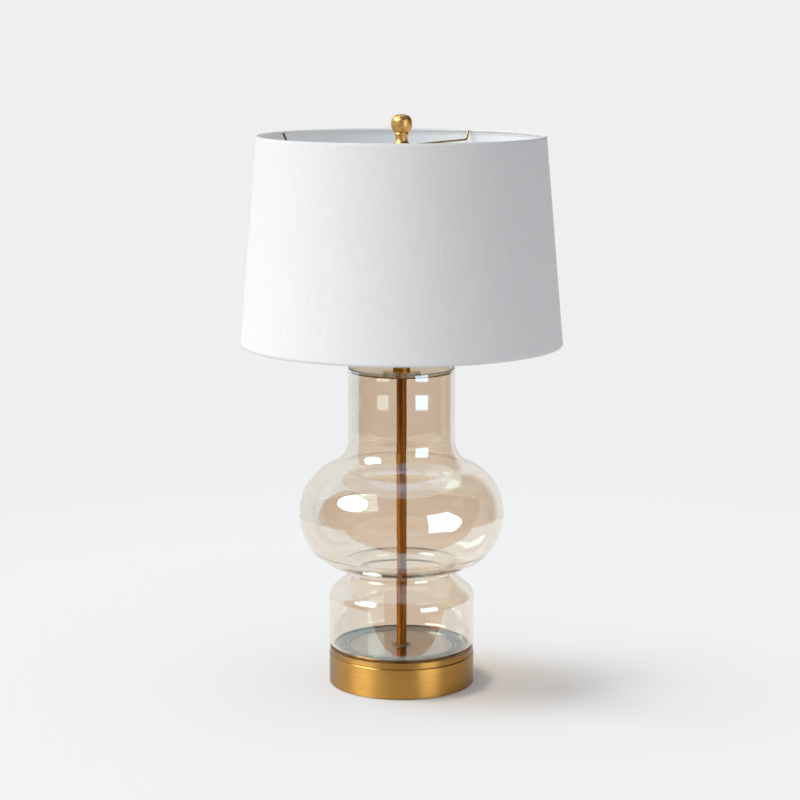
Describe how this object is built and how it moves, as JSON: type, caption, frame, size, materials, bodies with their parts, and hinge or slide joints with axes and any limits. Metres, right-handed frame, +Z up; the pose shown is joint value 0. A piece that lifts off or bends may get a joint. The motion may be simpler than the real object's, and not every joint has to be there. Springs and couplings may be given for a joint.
{
  "type": "table lamp",
  "caption": "Table lamp: clear champagne glass gourd on a round brass base, brass stem, tapered white fabric shade on a harp with finial.",
  "frame": {"origin": "centre of the base's resting face", "axes": "+Z up along the stem, -Y towards the front, with the switch knob; +X to the right"},
  "size_m": [0.4063, 0.4064, 0.7267],
  "materials": {
    "satin_brass": "satin, brushed round the axis, lacquered",
    "dark_brass": "satin, darker antique brass",
    "polished_brass": "polished, lacquered",
    "champagne_glass": "clear blown glass with a pale champagne lustre",
    "clear_vinyl": "clear soft vinyl",
    "black_felt": "felt",
    "cast_iron": "rough cast, painted black",
    "zinc_steel": "zinc plated",
    "brown_plastic": "moulded",
    "brown_paper": "vulcanised paper",
    "black_phenolic": "moulded phenolic",
    "aluminium": "rolled thread shell",
    "white_plastic": "moulded",
    "frosted_glass": "opal diffuser",
    "white_linen": "plain woven linen with slubs, laminated on a stiff liner",
    "white_styrene": "smooth styrene sheet",
    "white_wire": "white enamelled steel wire"
  },
  "bodies": {
    "lamp_base": {"felt_pad": "black_felt", "base_weight": "cast_iron", "base_shell": "satin_brass", "cord_bushing": "brown_plastic", "base_collar": "satin_brass", "pipe_washer": "zinc_steel", "lock_washer": "zinc_steel", "pipe_nut": "zinc_steel", "lamp_pipe": "zinc_steel", "stem_tube": "dark_brass", "seat_gasket": "clear_vinyl", "glass_washer": "clear_vinyl", "glass_body": "champagne_glass", "stem_pad": "clear_vinyl", "neck_disc": "polished_brass", "neck_gasket": "clear_vinyl", "disc_nut": "satin_brass", "harp_saddle": "polished_brass", "socket_cap": "polished_brass", "socket_set_screw": "zinc_steel", "socket_shell": "polished_brass", "socket_paper": "brown_paper", "socket_body": "black_phenolic", "socket_terminals": "polished_brass", "socket_screw_shell": "aluminium", "socket_contact": "polished_brass"},
    "switch": {"switch_shaft": "zinc_steel", "switch_knob": "brown_plastic"},
    "bulb_tip": {"bulb_contact": "black_phenolic"},
    "bulb": {"bulb_cap": "aluminium", "bulb_housing": "white_plastic", "bulb_globe": "frosted_glass"},
    "harp": {"harp_wire": "polished_brass", "harp_sleeve_left": "polished_brass", "harp_sleeve_right": "polished_brass", "harp_block": "polished_brass"},
    "harp_swivel": {"harp_stud": "polished_brass"},
    "shade": {"shade_fabric": "white_linen", "shade_liner": "white_styrene", "shade_top_ring": "white_wire", "shade_bottom_ring": "white_wire", "shade_top_hem": "white_linen", "shade_bottom_hem": "white_linen", "spider_washer": "polished_brass", "spider_arm_1": "polished_brass", "spider_arm_2": "polished_brass", "spider_arm_3": "polished_brass", "spider_arm_4": "polished_brass"},
    "finial_thread": {"finial_insert": "polished_brass"},
    "finial": {"finial_knob": "satin_brass"}
  },
  "joints": [
    {"name": "switch_turn", "type": "hinge", "parent": "lamp_base", "child": "switch", "pos_m": [0, -0.03, 0.441], "axis": [0, -1, 0], "continuous": true},
    {"name": "bulb_rise", "type": "slide", "parent": "lamp_base", "child": "bulb_tip", "axis": [0, 0, 1], "range_m": [0, 0.01814]},
    {"name": "bulb_turn", "type": "hinge", "parent": "bulb_tip", "child": "bulb", "pos_m": [0, 0, 0.48], "axis": [0, 0, 1], "range_deg": [0, 1800]},
    {"name": "harp_lift", "type": "slide", "parent": "lamp_base", "child": "harp", "axis": [0, 0, 1], "range_m": [0, 0.04]},
    {"name": "shade_turn", "type": "hinge", "parent": "harp", "child": "harp_swivel", "pos_m": [0, 0, 0.69], "axis": [0, 0, 1], "continuous": true},
    {"name": "shade_lift", "type": "slide", "parent": "harp_swivel", "child": "shade", "axis": [0, 0, 1], "range_m": [0, 0.28]},
    {"name": "finial_rise", "type": "slide", "parent": "shade", "child": "finial_thread", "axis": [0, 0, 1], "range_m": [0, 0.00847]},
    {"name": "finial_turn", "type": "hinge", "parent": "finial_thread", "child": "finial", "pos_m": [0, 0, 0.7], "axis": [0, 0, 1], "range_deg": [0, 3240]}
  ],
  "couplings": [
    {"joint": "bulb_rise", "follows": "bulb_turn", "m_per_rad": 0.0005775},
    {"joint": "finial_rise", "follows": "finial_turn", "m_per_rad": 0.00014972}
  ]
}
